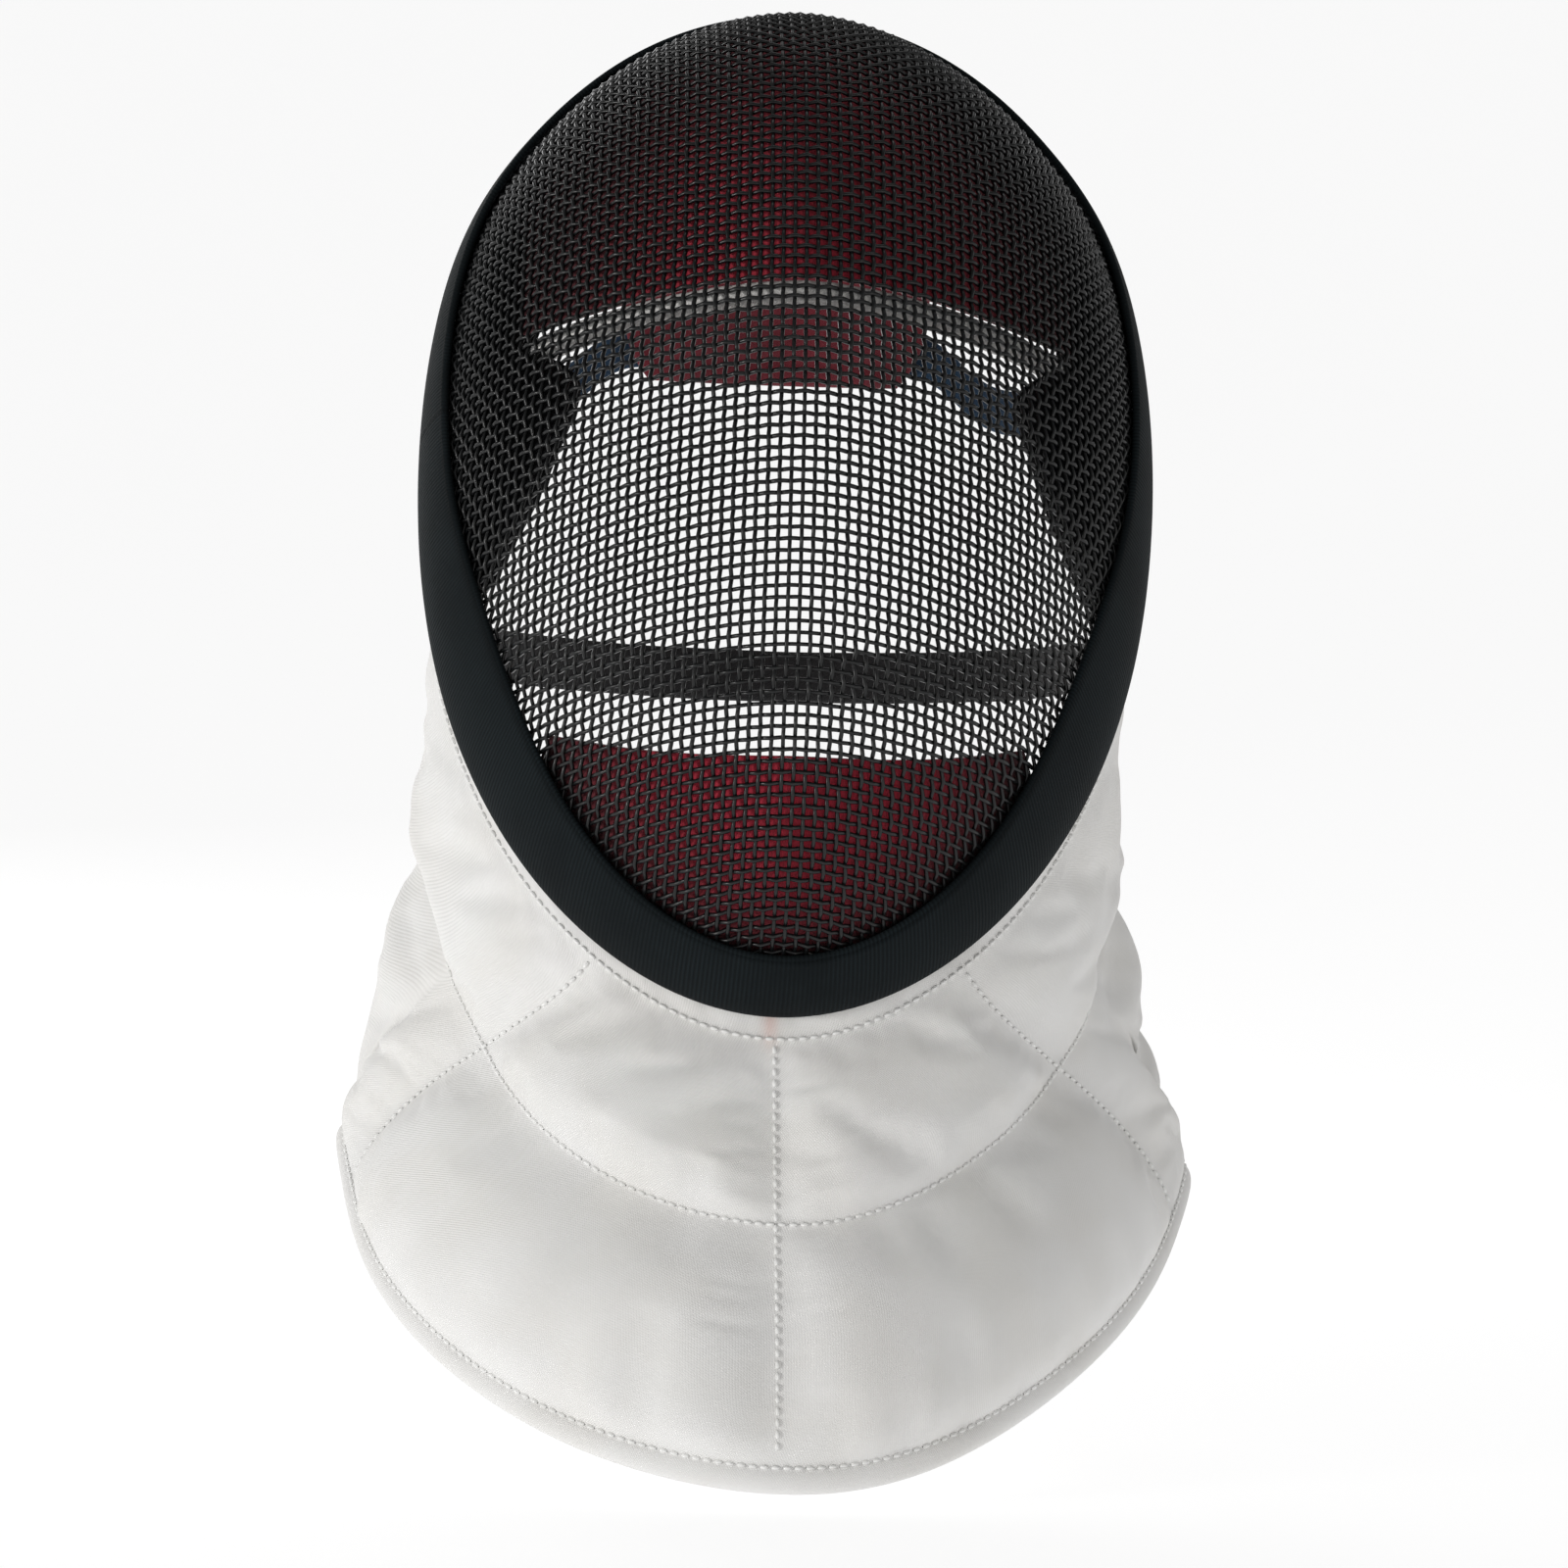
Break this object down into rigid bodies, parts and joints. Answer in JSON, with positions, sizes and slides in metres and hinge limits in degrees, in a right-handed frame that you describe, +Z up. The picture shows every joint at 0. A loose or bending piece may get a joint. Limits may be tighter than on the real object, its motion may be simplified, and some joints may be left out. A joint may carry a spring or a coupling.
{
  "type": "fencing mask",
  "caption": "Worn fencing mask: woven wire dome bound in black cloth, quilted white bib, padded crown, sides and chin, sprung back tongue and elastic straps.",
  "frame": {"origin": "middle of the underside of the crown pad, where the mask sits on the wearer's crown", "axes": "+Z up along the mask's height, -Y the way the wearer faces, +X to the right of a viewer who faces the mask"},
  "size_m": [0.2559, 0.2433, 0.4192],
  "materials": {
    "wire": "semi-gloss black lacquer on woven steel wire",
    "trim_cloth": "matt ribbed cloth, near black",
    "bib_cloth": "matt off-white twill",
    "pad_cloth": "matt red lining",
    "side_pad_cloth": "matt black lining",
    "piping_cloth": "matt white binding",
    "tongue_cloth": "matt dark red cover",
    "strap_elastic": "matt black woven elastic",
    "stay_elastic": "matt navy woven elastic"
  },
  "bodies": {
    "root": {"wire_dome": "wire", "rim_trim": "trim_cloth", "bib": "bib_cloth", "crown_pad": "pad_cloth", "crown_piping": "piping_cloth", "side_pad_right": "side_pad_cloth", "side_pad_left": "side_pad_cloth", "chin_pad": "pad_cloth", "back_tongue": "tongue_cloth", "nape_strap": "strap_elastic", "tongue_stay_right": "stay_elastic", "tongue_stay_left": "stay_elastic"}
  },
  "joints": []
}
